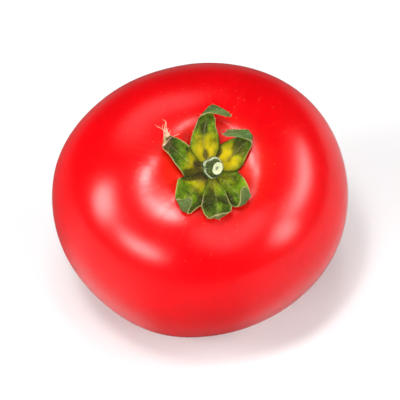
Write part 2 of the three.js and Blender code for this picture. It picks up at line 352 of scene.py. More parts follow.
class Skin:
    """The fruit's outer surface: `polar` is 0 at the stem end and pi at the blossom end."""

    def __init__(self, sizes):
        self.sizes = sizes
        forward = Quaternion((1, 0, 0), sizes.lean_forward)
        self.lean = forward @ Quaternion((0, 1, 0), sizes.lean_right)
        self.shift = Vector()
        self.rest()

    def girth(self, turn):
        turned = turn - self.sizes.wide_turn
        across = math.cos(turned) / (self.sizes.width / 2)
        along = math.sin(turned) / (self.sizes.depth / 2)
        radius = 1 / math.hypot(across, along)
        for count, part, peak in SWELLINGS:
            radius *= 1 + part * math.cos(count * (turn - peak))
        return radius

    def point(self, polar, turn):
        out = abs(math.sin(polar))
        up = math.cos(polar)
        power = SHOULDER_SQUARENESS
        size = (out**power + abs(up) ** power) ** (-1 / power)
        radius = out * size * self.girth(turn) * (1 + TOP_FULLNESS * up)
        height = up * size * (self.sizes.shoulder_rise if up > 0 else self.sizes.base_drop)
        if up > 0:
            furrow = 0.5 + 0.5 * math.cos(FURROW_COUNT * (turn - FURROW_TURN))
            reach = bell(radius - FURROW_DISTANCE, FURROW_SPREAD)
            height -= self.sizes.hollow_depth * bell(radius, self.sizes.hollow_radius)
            height -= FURROW_DEPTH * furrow * reach * min(1, radius / FURROW_DISTANCE)
        else:
            height += BLOSSOM_HOLLOW_DEPTH * bell(radius, BLOSSOM_HOLLOW_RADIUS)
        return Vector((radius * math.cos(turn), radius * math.sin(turn), height))

    def uneven(self, polar, turn):
        """How far the finished skin stands off the plain formula, most of all round the hollow."""
        flat = math.sin(polar)
        ball = Vector((flat * math.cos(turn), flat * math.sin(turn), math.cos(polar)))
        lumps = UNEVEN_DEPTH * noise.noise(ball * UNEVEN_GRAIN)
        if polar < math.pi / 2:
            spot = Vector((math.cos(turn), math.sin(turn), 0)) * RIM_UNEVEN_GRAIN
            spot.z = RIM_UNEVEN_SEED
            near = bell(self.point(polar, turn).xy.length - FURROW_DISTANCE, FURROW_SPREAD)
            lumps += RIM_UNEVEN_DEPTH * near * noise.noise(spot)
        return ball * lumps

    def normal(self, polar, turn):
        middle = max(polar, SLOPE_TURN * 2)
        down = self.point(middle + SLOPE_TURN, turn) - self.point(middle - SLOPE_TURN, turn)
        round_ = self.point(middle, turn + SLOPE_TURN) - self.point(middle, turn - SLOPE_TURN)
        return down.cross(round_).normalized()

    def polar_at(self, radius, turn):
        """How far down from the stem end the skin is this far from the stem axis."""
        polar = WALK_TURN
        while self.point(polar, turn).xy.length < radius:
            polar += WALK_TURN
        return polar

    def rest(self):
        """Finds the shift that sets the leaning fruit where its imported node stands."""
        places = [
            self.lean @ self.point(math.pi * ring / REST_RINGS, math.tau * spoke / REST_SPOKES)
            for ring in range(REST_RINGS + 1)
            for spoke in range(REST_SPOKES)
        ]
        low = Vector(map(min, *places))
        high = Vector(map(max, *places))
        packed_low, packed_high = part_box("fruit")
        self.shift = (packed_low + packed_high - low - high) / 2
        self.shift.z = packed_low.z - low.z - self.sizes.press

    def settle(self, place):
        """From the fruit's own frame to where it leans on the floor."""
        return self.lean @ place + self.shift


def pressed(height):
    """A height above the floor once the flat spot is pressed in with a soft edge."""
    if height >= PRESS_EDGE:
        return height
    if height <= -PRESS_EDGE:
        return 0
    return (height + PRESS_EDGE) ** 2 / (4 * PRESS_EDGE)


# ---- Making pieces ----

def finish_piece(mesh_maker, name, materials, nodes=(), subdivisions=0):
    """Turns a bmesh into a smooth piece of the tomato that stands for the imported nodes."""
    mesh = bpy.data.meshes.new(name)
    mesh_maker.to_mesh(mesh)
    mesh_maker.free()
    mesh.shade_smooth()
    for material in materials:
        mesh.materials.append(material)
    piece = bpy.data.objects.new(name, mesh)
    bpy.context.scene.collection.objects.link(piece)
    if subdivisions:
        modifier = piece.modifiers.new("smooth", "SUBSURF")
        modifier.levels = modifier.render_levels = subdivisions
    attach(piece, BODY)
    if nodes:
        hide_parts(*nodes)
    return piece


def spun(profile):
    """A closed turned shape from (radius, height) pairs that start and end on the axis."""
    made = bmesh.new()
    places = [made.verts.new((radius, 0, height)) for radius, height in profile]
    edges = [made.edges.new(pair) for pair in zip(places, places[1:])]
    bmesh.ops.spin(
        made, geom=places + edges, cent=(0, 0, 0), axis=(0, 0, 1), dvec=(0, 0, 0),
        angle=math.tau, steps=SPIN_STEPS, use_merge=True,
    )
    bmesh.ops.remove_doubles(made, verts=made.verts, dist=1e-6)
    bmesh.ops.recalc_face_normals(made, faces=made.faces)
    return made


# ---- Wiring for materials ----

class Wiring:
    """Adds nodes to one tree and joins them up."""

    def __init__(self, tree):
        self.tree = tree

    def node(self, kind, **settings):
        made = self.tree.nodes.new(kind)
        for name, value in settings.items():
            setattr(made, name, value)
        return made

    def feed(self, socket, value):
        if isinstance(value, bpy.types.NodeSocket):
            self.tree.links.new(value, socket)
        elif socket.type == "RGBA":
            socket.default_value = (*value, 1)
        else:
            socket.default_value = value

    def fed(self, kind, *values, **settings):
        """A new node with its first inputs fed in order, and its first output."""
        made = self.node(kind, **settings)
        for socket, value in zip(made.inputs, values):
            self.feed(socket, value)
        return made.outputs[0]

    def named(self, kind, values, **settings):
        """A new node with its inputs fed by their names, and its outputs."""
        made = self.node(kind, **settings)
        for name, value in values.items():
            self.feed(made.inputs[name], value)
        return made.outputs

    def maths(self, operation, *values, clamp=False):
        return self.fed("ShaderNodeMath", *values, operation=operation, use_clamp=clamp)

    def times(self, value, by, clamp=False):
        return self.maths("MULTIPLY", value, by, clamp=clamp)

    def times_plus(self, value, by, plus):
        return self.maths("MULTIPLY_ADD", value, by, plus)

    def blend(self, factor, low, high):
        made = self.node("ShaderNodeMix", data_type="RGBA")
        self.feed(made.inputs["Factor"], factor)
        self.feed(made.inputs[6], low)
        self.feed(made.inputs[7], high)
        return made.outputs[2]

    def remap(self, value, from_low, from_high, to_low=0.0, to_high=1.0):
        limits = (from_low, from_high, to_low, to_high)
        return self.fed("ShaderNodeMapRange", value, *limits, interpolation_type="SMOOTHSTEP")

    def stretch(self, vector, scale):
        return self.named("ShaderNodeMapping", {"Vector": vector, "Scale": scale})[0]

    def noise(self, vector, scale, detail=2.0, roughness=0.5):
        values = {"Vector": vector, "Scale": scale, "Detail": detail, "Roughness": roughness}
        return self.named("ShaderNodeTexNoise", values)["Fac"]

    def cells(self, vector, scale, feature="F1"):
        values = {"Vector": vector, "Scale": scale}
        return self.named("ShaderNodeTexVoronoi", values, feature=feature)["Distance"]

    def attribute(self, name):
        return self.node("ShaderNodeAttribute", attribute_name=name).outputs["Vector"]

    def value(self, name):
        return self.node("ShaderNodeAttribute", attribute_name=name).outputs["Fac"]

    def parts(self, vector):
        made = self.node("ShaderNodeSeparateXYZ")
        self.feed(made.inputs[0], vector)
        return tuple(made.outputs)

    def here(self):
        return self.node("ShaderNodeTexCoord").outputs["Object"]

    def bump(self, height, strength, distance):
        values = {"Height": height, "Strength": strength, "Distance": distance}
        return self.named("ShaderNodeBump", values)[0]

    def placed(self, group, values):
        """Puts a node group in the tree with its own values, and returns its outputs."""
        return self.named("ShaderNodeGroup", values, node_tree=group)

    def mottled(self, here, base, patch, patches, grain, amount):
        """Puts in soft patches of one colour in another, with the scales of patches and grain."""
        return self.placed(mottle_group(), {
            "Vector": here, "Colour": base, "Patch Colour": patch,
            "Patch Scale": patches, "Grain Scale": grain, "Amount": amount,
        })

    def grained(self, grain, low):
        """Roughness from a low value up, by the grain."""
        return self.times_plus(grain, GRAIN_ROUGHNESS, low)


def new_group(name, inputs, outputs):
    """A node group with named sockets, and its two ends."""
    tree = bpy.data.node_groups.new(name, "ShaderNodeTree")
    for in_out, sockets in (("INPUT", inputs), ("OUTPUT", outputs)):
        for label, kind in sockets.items():
            tree.interface.new_socket(name=label, in_out=in_out, socket_type="NodeSocket" + kind)
    wiring = Wiring(tree)
    return wiring, wiring.node("NodeGroupInput").outputs, wiring.node("NodeGroupOutput").inputs


def new_material(name, **values):
    """A material with its surface shader's uniform values set on the shader itself."""
    material = bpy.data.materials.new(name)
    material.use_nodes = True
    shader = material.node_tree.nodes["Principled BSDF"]
    for label, value in values.items():
        shader.inputs[label.replace("_", " ")].default_value = value
    return material, Wiring(material.node_tree), shader.inputs


def dress(wiring, shader, tint, roughness, normal):
    """Joins what changes over the surface to a material's shader."""
    for label, value in (("Base Color", tint), ("Roughness", roughness), ("Normal", normal)):
        wiring.feed(shader[label], value)


def mottle_group():
    """Soft patches of one colour in another, with a finer grain laid over them."""
    if "soft_mottle" in bpy.data.node_groups:
        return bpy.data.node_groups["soft_mottle"]
    wiring, given, out = new_group(
        "soft_mottle",
        {
            "Vector": "Vector", "Colour": "Color", "Patch Colour": "Color",
            "Patch Scale": "Float", "Grain Scale": "Float", "Amount": "Float",
        },
        {"Color": "Color", "Grain": "Float"},
    )
    patches = wiring.noise(given["Vector"], given["Patch Scale"], 3.0, 0.55)
    grain = wiring.noise(given["Vector"], given["Grain Scale"], 2.0, 0.6)
    both = wiring.times_plus(grain, 0.35, wiring.times(patches, 0.65))
    mask = wiring.times(wiring.remap(both, 0.36, 0.64), given["Amount"], clamp=True)
    wiring.feed(out["Color"], wiring.blend(mask, given["Colour"], given["Patch Colour"]))
    wiring.feed(out["Grain"], grain)
    return wiring.tree


def skin_material(sizes):
    """Ripe skin: deep red, warmer beside the calyx, with fine streaks and pale specks."""
    material, wiring, shader = new_material(
        "ripe_skin",
        Subsurface_Weight=0.12,
        Subsurface_Radius=(1.0, 0.12, 0.06),
        Subsurface_Scale=2 * MM,
        Specular_IOR_Level=0.3,
        Coat_Roughness=0.16,
        Coat_IOR=1.4,
    )
    way = wiring.attribute("skin_way")
    down = wiring.parts(way)[2]
    here = wiring.here()
    base = wiring.mottled(here, sizes.red, sizes.deep_red, patches=60.0, grain=700.0, amount=0.7)
    streaks = wiring.noise(wiring.stretch(way, (34, 34, 9)), 1.0, 4.0, 0.62)
    near = wiring.remap(down, 0.34, 0.1)
    warm = wiring.remap(down, 0.15, 0.055)
    streak_mask = wiring.times(wiring.remap(streaks, 0.48, 0.72), near)
    warm_mask = wiring.times_plus(streak_mask, 0.3, wiring.times(warm, 0.75))
    red = wiring.blend(wiring.maths("MINIMUM", warm_mask, 1.0), base["Color"], sizes.warm_red)
    dots = wiring.remap(wiring.cells(here, 620.0), 0.17, 0.08)
    sparse = wiring.remap(wiring.noise(here, 300.0), 0.4, 0.55)
    dot_mask = wiring.times(wiring.times(dots, sparse), near)
    red = wiring.blend(wiring.times(dot_mask, 0.22), red, sizes.speck)
    scar_edge = wiring.noise(here, 1500.0, 3.0)
    scar = wiring.remap(wiring.times_plus(scar_edge, 0.012, down), 0.982, 0.993)
    rough = wiring.times_plus(scar, 0.4, wiring.times_plus(base["Grain"], 0.08, 0.2))
    wiring.feed(shader["Coat Weight"], wiring.times_plus(scar, -SKIN_COAT, SKIN_COAT))
    pores = wiring.noise(here, 2200.0)
    height = wiring.times_plus(streak_mask, 0.6, wiring.times(pores, 0.35))
    height = wiring.times_plus(scar, scar_edge, height)
    tint = wiring.blend(scar, red, sizes.scar)
    dress(wiring, shader, tint, rough, wiring.bump(height, 0.16, 0.12 * MM))
    return material


def tissue_group(calyx):
    """Leaf tissue: yellow foot, green blade with veins, darker tips, painted shade in its hollows and
    between the feet, painted highlight on its raised folds, pale rim and dry patches.
    """
    if "sepal_tissue" in bpy.data.node_groups:
        return bpy.data.node_groups["sepal_tissue"]
    wiring, given, out = new_group(
        "sepal_tissue",
        {"Yellow": "Float", "Shade": "Float", "Dry": "Float", "Brown Foot": "Float"},
        {"Color": "Color", "Roughness": "Float", "Height": "Float"},
    )
    across, along, under = wiring.parts(wiring.attribute("blade"))
    here = wiring.here()
    from_middle = wiring.maths("ABSOLUTE", across)
    drift = wiring.noise(here, 420.0, 3.0, 0.6)

    mottled = wiring.mottled(
        here, calyx.green, calyx.dark_green, patches=380.0, grain=1500.0, amount=0.85
    )
    tip = wiring.remap(wiring.times_plus(drift, 0.5, along), 0.62, 1.05)
    shade = wiring.times(tip, given["Shade"], clamp=True)
    tint = wiring.blend(shade, mottled["Color"], calyx.dark_green)
    foot = wiring.remap(wiring.times_plus(drift, 0.34, along), 0.66, 0.3)
    inward = wiring.remap(from_middle, 1.15, 0.35)
    foot_mask = wiring.times(wiring.times(foot, inward), given["Yellow"])
    tint = wiring.blend(foot_mask, tint, calyx.yellow)

    # Painted shade where the blade dips below its cupped rest, and painted highlight where it rises in
    # a fold.
    depth = wiring.maths("SUBTRACT", wiring.value("hollow"), 0.15)
    depth = wiring.times_plus(drift, 0.3, depth)
    tint = wiring.blend(wiring.remap(depth, 0.02, 0.5, 0.0, 0.85), tint, calyx.crease_shade)
    tint = wiring.blend(wiring.remap(depth, -0.15, -0.7, 0.0, 0.5), tint, calyx.pale)

    scorched = wiring.remap(wiring.times_plus(drift, 0.3, along), 0.4, 0.24)
    scorched = wiring.times(scorched, given["Brown Foot"])
    tint = wiring.blend(scorched, tint, calyx.brown)

    # Veins leave the midrib at a slant and run out towards the rim.
    slant = wiring.times_plus(along, 13.0, wiring.times(from_middle, -3.2))
    wave = wiring.maths("PINGPONG", wiring.times_plus(drift, 1.4, slant), 0.5)
    veins = wiring.remap(wave, 0.085, 0.0)
    midrib = wiring.remap(from_middle, 0.1, 0.02)
    net = wiring.remap(wiring.cells(here, 1400.0, "DISTANCE_TO_EDGE"), 0.09, 0.0)
    fine = wiring.times_plus(net, 0.35, wiring.times(veins, 0.55))
    lines = wiring.maths("MAXIMUM", fine, wiring.times(midrib, 0.8))
    tint = wiring.blend(wiring.times(lines, 0.2), tint, calyx.rim)

    back = wiring.mottled(
        here, calyx.underside, calyx.dark_green, patches=420.0, grain=1800.0, amount=0.7
    )
    tint = wiring.blend(under, tint, back["Color"])

    edge_drift = wiring.times_plus(drift, 0.12, from_middle)
    side_rim = wiring.remap(edge_drift, 0.93, 1.04)
    tip_rim = wiring.remap(along, 0.972, 0.995)
    free = wiring.remap(wiring.times_plus(drift, 0.3, along), 0.42, 0.6)
    # Painted shade along the side rims near the foot, where the sepals meet.
    crease_shade = wiring.times(side_rim, wiring.maths("SUBTRACT", 1.0, free))
    tint = wiring.blend(wiring.times(crease_shade, 0.8), tint, calyx.crease_shade)
    side_rim = wiring.times(side_rim, free)
    rim = wiring.times(wiring.maths("MAXIMUM", side_rim, tip_rim), 0.65)
    tint = wiring.blend(rim, tint, calyx.rim)
    withered = wiring.remap(wiring.times_plus(drift, 0.7, along), 1.02, 1.32)
    withered = wiring.times(withered, given["Dry"], clamp=True)
    spots = wiring.times(wiring.remap(wiring.noise(here, 900.0, 1.0), 0.7, 0.76), 0.7)
    dry = wiring.maths("MAXIMUM", withered, wiring.times(spots, given["Dry"]))
    tint = wiring.blend(dry, tint, calyx.dry)

    wiring.feed(out["Color"], tint)
    wiring.feed(out["Roughness"], wiring.grained(mottled["Grain"], 0.42))
    relief = wiring.times_plus(lines, -0.7, mottled["Grain"])
    wiring.feed(out["Height"], wiring.times_plus(rim, 0.5, relief))
    return wiring.tree


def sepal_material(calyx, sepal):
    """Leaf tissue with this sepal's own share of yellow, shade, dry patches and brown foot."""
    material, wiring, shader = new_material(sepal.name + "_leaf", Specular_IOR_Level=0.06)
    tissue = wiring.placed(tissue_group(calyx), {
        "Yellow": sepal.yellow, "Shade": sepal.shade, "Dry": sepal.dry,
        "Brown Foot": sepal.brown_foot,
    })
    relief = wiring.bump(tissue["Height"], 0.55, 0.25 * MM)
    dress(wiring, shader, tissue["Color"], tissue["Roughness"], relief)
    return material


def rind_material(name, colour_, patch, roughness, scar=0.0):
    """Mottled rind with lengthwise fibres, and a painted highlight: a pale broken ring round the top
    edge of the stem's knuckle.
    """
    material, wiring, shader = new_material(
        name, Sheen_Weight=0.03, Sheen_Roughness=0.5, Specular_IOR_Level=0.15
    )
    here = wiring.here()
    mottled = wiring.mottled(here, colour_, patch, patches=500.0, grain=2400.0, amount=1.0)
    turned = wiring.attribute("turned")
    fibres = wiring.noise(wiring.stretch(turned, (9, 9, 1.2)), 1.0, 3.0, 0.6)
    streak = wiring.remap(fibres, 0.5, 0.75)
    tint = wiring.blend(wiring.times(streak, 0.35), mottled["Color"], FIBRE)
    # Painted highlight: a pale broken ring round the knuckle's top edge, at the height that scar
    # gives.
    if scar:
        away = wiring.maths("ABSOLUTE", wiring.maths("SUBTRACT", wiring.parts(turned)[2], scar))
        away = wiring.times_plus(fibres, 0.06, away)
        broken = wiring.remap(wiring.noise(here, 260.0), 0.42, 0.56)
        ring = wiring.times(wiring.remap(away, 0.085, 0.045), broken)
        tint = wiring.blend(ring, tint, KNUCKLE_HIGHLIGHT)
    relief = wiring.bump(wiring.times_plus(fibres, 1.2, mottled["Grain"]), 0.6, 0.2 * MM)
    dress(wiring, shader, tint, wiring.grained(mottled["Grain"], roughness), relief)
    return material


def cut_material():
    """The stub's cut end: pale pith in a ring of fibres round a dark middle."""
    material, wiring, shader = new_material("stem_cut", Specular_IOR_Level=0.3)
    here = wiring.here()
    across = wiring.value("from_axis")
    mottled = wiring.mottled(here, *PITH_COLOURS, patches=1100.0, grain=4200.0, amount=0.6)
    drift = wiring.noise(here, 1400.0)
    middle = wiring.remap(wiring.times_plus(drift, 0.4, across), 0.62, 0.32)
    tint = wiring.blend(middle, mottled["Color"], PITH_MIDDLE)
    relief = wiring.bump(mottled["Grain"], 0.6, 0.15 * MM)
    dress(wiring, shader, tint, wiring.grained(drift, 0.55), relief)
    return material


def dry_material(calyx):
    """The withered strands: pale straw with browner patches."""
    material, wiring, shader = new_material("dry_strand", Sheen_Weight=0.2)
    mottled = wiring.mottled(wiring.here(), STRAW, calyx.dry, patches=900.0, grain=4000.0, amount=0.8)
    relief = wiring.bump(mottled["Grain"], 0.4, 0.1 * MM)
    dress(wiring, shader, mottled["Color"], wiring.grained(mottled["Grain"], 0.6), relief)
    return material


def down_material():
    """The down: dull green hairs with paler ones among them."""
    material, wiring, shader = new_material("pale_down", Specular_IOR_Level=0.3)
    grain = wiring.noise(wiring.here(), 2000.0)
    wiring.feed(shader["Base Color"], wiring.blend(grain, *DOWN_COLOURS))
    wiring.feed(shader["Roughness"], wiring.grained(grain, 0.5))
    return material


# ---- Laying a sepal on the skin ----

@dataclass
class Stride:
    """One place on a sepal's midline, with its directions."""

    turn: float
    swung: float
    at: Vector
    along: Vector
    side: Vector
    normal: Vector
    room: float


def sepal_strides(skin, calyx, sepal):
    """The midline from under the stem out along the skin, round the roll and on to the tip."""
    inner = calyx.packed_foot_radius - calyx.foot_radius
    whole = sepal.length * MM + inner
    stride = whole / SEPAL_ALONG_STEPS
    roll_at = sepal.roll_at * MM
    turn = math.radians(sepal.turn)
    polar = skin.polar_at(calyx.foot_radius, turn)
    strides = []
    walked = -inner
    while walked <= roll_at:
        part = max(0, walked) / roll_at
        turn = math.radians(sepal.turn + sepal.swing * part)
        normal = skin.normal(polar, turn)
        risen = sepal.lift * MM * smooth(0, roll_at, walked)
        foot = calyx.foot_rise * (1 - smooth(-inner, 2 * inner, walked))
        away = calyx.clearance + calyx.thickness + risen + foot + sepal.layer * MM
        side = Vector((math.sin(turn), -math.cos(turn), 0))
        at = skin.point(polar, turn) + normal * away
        room = away - calyx.thickness
        strides.append(Stride(turn, part, at, normal.cross(side).normalized(), side, normal, room))
        tiny = (skin.point(polar + WALK_TURN, turn) - skin.point(polar, turn)).length
        polar += stride / tiny * WALK_TURN
        walked += stride
    skew = math.radians(sepal.roll_skew)
    fold = strides[-1]
    axis = fold.side * math.cos(skew) + fold.along * math.sin(skew)
    left = math.radians(sepal.roll_angle)
    tail = SEPAL_ALONG_STEPS + 1 - len(strides)
    curl = math.radians(sepal.tip_curl) / tail
    while len(strides) <= SEPAL_ALONG_STEPS:
        last = strides[-1]
        bend = min(left, stride * math.cos(skew) / (sepal.roll_radius * MM))
        turned = Quaternion(last.normal, curl)
        half, full = turned @ Quaternion(axis, bend / 2), turned @ Quaternion(axis, bend)
        at = last.at + (half @ last.along) * stride
        ways = (full @ way for way in (last.along, last.side, last.normal))
        strides.append(Stride(last.turn, 1, at, *ways, room=sepal.roll_radius * MM))
        left -= bend
    return strides


def room_beside(sepal, swung, hand):
    """Half the angle to the neighbour on that side, -1 left or 1 right, this far through the swing."""
    own = sepal.turn + sepal.swing * swung
    turns = [other.turn + other.swing * swung for other in SEPALS if other is not sepal]
    return math.radians(min(-hand * (turn - own) % 360 for turn in turns)) / 2


def space_beside(sepal, stride, hand):
    """How far the blade may reach to one side before it leaves its own sector."""
    ray = stride.turn - hand * room_beside(sepal, stride.swung, hand)
    clear = hand * (math.cos(ray) * stride.at.y - math.sin(ray) * stride.at.x) + SEPAL_LAP
    closing = math.sin(ray) * stride.side.x - math.cos(ray) * stride.side.y
    return max(clear, 0) / closing if closing > 0 else math.inf


def half_width(sepal, part):
    """Half the width at this part of the length, on a smooth curve through the sepal's widths."""
    last = len(sepal.widths) - 1
    step = min(int(part * last), last - 1)
    before, low, high, after = (
        sepal.widths[min(max(step + k, 0), last)] for k in (-1, 0, 1, 2)
    )
    t = part * last - step
    bow = 2 * before - 5 * low + 4 * high - after
    width = low + t * (high - before + t * (bow + t * (3 * (low - high) + after - before))) / 2
    round_tip = math.sqrt(max(0, 1 - smooth(SEPAL_TIP_FROM, 1, part) ** 2))
    return max(SEPAL_TIP_HALF, width * MM / 2 * lerp(SEPAL_TIP_SHARE, 1, round_tip))


def dented(sepal, across, part, half):
    """How deep the sepal's dents are at a place, in metres."""
    deep = 0
    for dent_across, dent_along, reach, depth in sepal.dents:
        aside = (across - dent_across) * half
        onward = (part - dent_along) * sepal.length * MM
        deep += depth * MM * bell(math.hypot(aside, onward * DENT_STRETCH), reach * MM)
    return deep


def blade_offset(calyx, sepal, across, part, half):
    """How far a place of the blade stands off its midline's plane."""
    seed = sepal.turn * 0.37
    spread = min(1, half / (max(sepal.widths) * MM / 2))
    free = smooth(0.1, 0.5, part)
    cup = calyx.cup * across * across * spread * lerp(0.35, 1, free)
    groove = calyx.groove * bell(across, GROOVE_SPREAD) * spread
    hand = 3.1 if across > 0 else 7.7
    wave = noise.noise((part * 5 + hand, seed, 0.5)) * abs(across) ** 2
    fold = noise.noise((across * 1.5 + seed, part * 4.5, 2.3))
    ribs = math.sin(part * 42 - abs(across) * 9) * RIBS
    puckers = noise.noise((across * 3.4, part * 12 + seed, 6.1))
    crumples = (RIM_WAVES * wave + FOLDS * fold) * lerp(0.25, 1, free)
    crumples += (ribs + PUCKERS * puckers) * spread
    return cup - groove + calyx.crumple * crumples - dented(sepal, across, part, half)


def sepal_shape(skin, calyx, sepal):
    """The blade as one closed thin sheet, with `blade` holding across, along and underside."""
    strides = sepal_strides(skin, calyx, sepal)
    made = bmesh.new()
    blade = made.verts.layers.float_vector.new("blade")
    hollow = made.verts.layers.float.new("hollow")
    bmesh.ops.create_grid(
        made, x_segments=SEPAL_ACROSS_STEPS, y_segments=SEPAL_ALONG_STEPS, size=0.5
    )

    def place(vert, across, part, down):
        stride = strides[round(part * SEPAL_ALONG_STEPS)]
        hand = -1 if across < 0 else 1
        half = half_width(sepal, part)
        half *= 1 + SEPAL_RAGGED * noise.noise((part * 6, hand * 3.3, sepal.turn))
        half = min(half, max(space_beside(sepal, stride, hand), SEPAL_TIP_HALF))
        out = blade_offset(calyx, sepal, across, part, half)
        thick = lerp(calyx.thickness, calyx.rim_thickness, abs(across) ** 2)
        reach = stride.side * (across * half)
        lying = max(out, calyx.clearance / 2 - stride.room)
        vert.co = skin.settle(stride.at + reach + stride.normal * (lying - down * thick))
        vert[blade] = (across, part, down)
        # The hollow layer is how far this place dips below its cupped rest: the leaf material paints
        # shade there, and highlight where it rises.
        cup = calyx.cup * across * across
        vert[hollow] = (cup * 0.7 - out) / MM

    for vert in made.verts:
        place(vert, vert.co.x * 2, vert.co.y + 0.5, 0)
    doubled = bmesh.ops.extrude_face_region(made, geom=made.faces[:], use_keep_orig=True)
    for vert in doubled["geom"]:
        if isinstance(vert, bmesh.types.BMVert):
            place(vert, vert[blade].x, vert[blade].y, 1)
    bmesh.ops.recalc_face_normals(made, faces=made.faces)
    return made


def draw_strand(made, places, radius):
    """A thin closed strand through some places, narrowing to its tip."""
    heading = (places[1] - places[0]).to_track_quat("Z", "Y").to_matrix().to_4x4()
    start = Matrix.Translation(places[0]) @ heading
    bmesh.ops.create_circle(made, cap_ends=True, segments=5, radius=radius, matrix=start)
    made.faces.ensure_lookup_table()
    cap = made.faces[-1]
    for step in range(1, len(places)):
        grown = bmesh.ops.extrude_face_region(made, geom=[cap], use_keep_orig=step == 1)
        cap = next(item for item in grown["geom"] if isinstance(item, bmesh.types.BMFace))
        ring = list(cap.verts)
        bmesh.ops.translate(made, verts=ring, vec=places[step] - places[step - 1])
        narrow = Matrix.Diagonal((0.8, 0.8, 0.8, 1))
        to_middle = Matrix.Translation(-places[step])
        bmesh.ops.transform(made, verts=ring, matrix=to_middle.inverted() @ narrow @ to_middle)
    bmesh.ops.recalc_face_normals(made, faces=made.faces)


# ---- Operators ----

class TOMATO_OT_fruit(bpy.types.Operator):
    """Builds the fruit with its fine skin"""

    bl_idname = "tomato.fruit"
    bl_label = "Fruit"

    def execute(self, context):
        sizes = context.scene.tomato_fruit
        skin = Skin(sizes)
        made = bmesh.new()
        way = made.verts.layers.float_vector.new("skin_way")
        bmesh.ops.create_icosphere(made, subdivisions=sizes.fineness, radius=1)
        for vert in made.verts:
            ball = vert.co.copy()
            polar = math.acos(max(-1, min(1, ball.z)))
            turn = math.atan2(ball.y, ball.x)
            vert.co = skin.settle(skin.point(polar, turn) + skin.uneven(polar, turn))
            vert.co.z = pressed(vert.co.z)
            vert[way] = (math.cos(turn), math.sin(turn), polar / math.pi)
        finish_piece(made, "fruit_skin", [skin_material(sizes)], ["fruit"])
        return {"FINISHED"}


class TOMATO_OT_calyx_centre(bpy.types.Operator):
    """Builds the low cushion that the sepals and the stem grow from"""

    bl_idname = "tomato.calyx_centre"
    bl_label = "Calyx centre"

    def execute(self, context):
        skin = Skin(context.scene.tomato_fruit)
        floor = skin.point(0, 0).z
        made = spun([(radius * MM, height * MM) for radius, height in CUSHION_OUTLINE])
        turned = made.verts.layers.float_vector.new("turned")
        for vert in made.verts:
            turn = math.atan2(vert.co.y, vert.co.x)
            vert[turned] = (math.cos(turn), math.sin(turn), vert.co.z / MM)
            lobes = CUSHION_LOBES * math.cos(len(SEPALS) * turn + 0.6)
            lobes += CUSHION_UNEVEN * noise.noise(vert.co * CUSHION_GRAIN)
            vert.co.x *= 1 + lobes
            vert.co.y *= 1 + lobes
            vert.co.z += floor
            vert.co = skin.settle(vert.co)
        rind = rind_material("centre_rind", *CUSHION_COLOURS, 0.55)
        finish_piece(made, "calyx_cushion", [rind], ["calyx_hub"], 1)
        return {"FINISHED"}


class TOMATO_OT_stem(bpy.types.Operator):
    """Builds the knuckled stub of stem with its pale cut end"""

    bl_idname = "tomato.stem"
    bl_label = "Stem"

    def execute(self, context):
        calyx = context.scene.tomato_calyx
        skin = Skin(context.scene.tomato_fruit)
        wall, cut, tall = calyx.stem_radius, calyx.cut_radius, calyx.stem_length
        outline = [(out * wall, up * tall) for out, up in STUB_WALL]
        made = spun(outline + [(out * cut, up * tall) for out, up in STUB_CUT])
        turned = made.verts.layers.float_vector.new("turned")
        from_axis = made.verts.layers.float.new("from_axis")
        bend = calyx.stem_bend
        towards = Quaternion((0, 0, 1), calyx.stem_towards)
        arc = tall / bend
        foot = skin.point(0, 0).z + STUB_FOOT
        for vert in made.verts:
            turn = math.atan2(vert.co.y, vert.co.x)
            radius = vert.co.xy.length
            part = vert.co.z / tall
            vert[turned] = (math.cos(turn), math.sin(turn), part)
            vert[from_axis] = radius / cut
            ridges = STUB_RIDGE_HEIGHT * math.cos(STUB_RIDGES * turn + 1)
            ridges += STUB_UNEVEN * noise.noise(vert.co * STUB_GRAIN)
            ridges *= smooth(1.02, 0.8, part) + 0.3
            vert.co.x *= 1 + ridges
            vert.co.y *= 1 + ridges
            reach = arc - vert.co.x
            swung = part * bend
            bent = Vector((arc - reach * math.cos(swung), vert.co.y, reach * math.sin(swung)))
            place = towards @ bent
            place.z += foot
            vert.co = skin.settle(place)
        for face in made.faces:
            if all(vert[from_axis] < CUT_EDGE and vert[turned].z > CUT_FROM for vert in face.verts):
                face.material_index = 1
        rind = rind_material("stem_rind", *STUB_COLOURS, 0.45, KNUCKLE_HIGHLIGHT_AT)
        finish_piece(made, "stem_stub_end", [rind, cut_material()], ["stem_stub"], 1)
        return {"FINISHED"}


class TOMATO_OT_sepals(bpy.types.Operator):
    """Builds the six sepals, laid on the skin with their tips rolled over"""

    bl_idname = "tomato.sepals"
    bl_label = "Sepals"

    def execute(self, context):
        calyx = context.scene.tomato_calyx
        skin = Skin(context.scene.tomato_fruit)
        for sepal in SEPALS:
            made = sepal_shape(skin, calyx, sepal)
            leaf = sepal_material(calyx, sepal)
            finish_piece(made, sepal.name + "_leaf", [leaf], [sepal.name], 1)
        return {"FINISHED"}


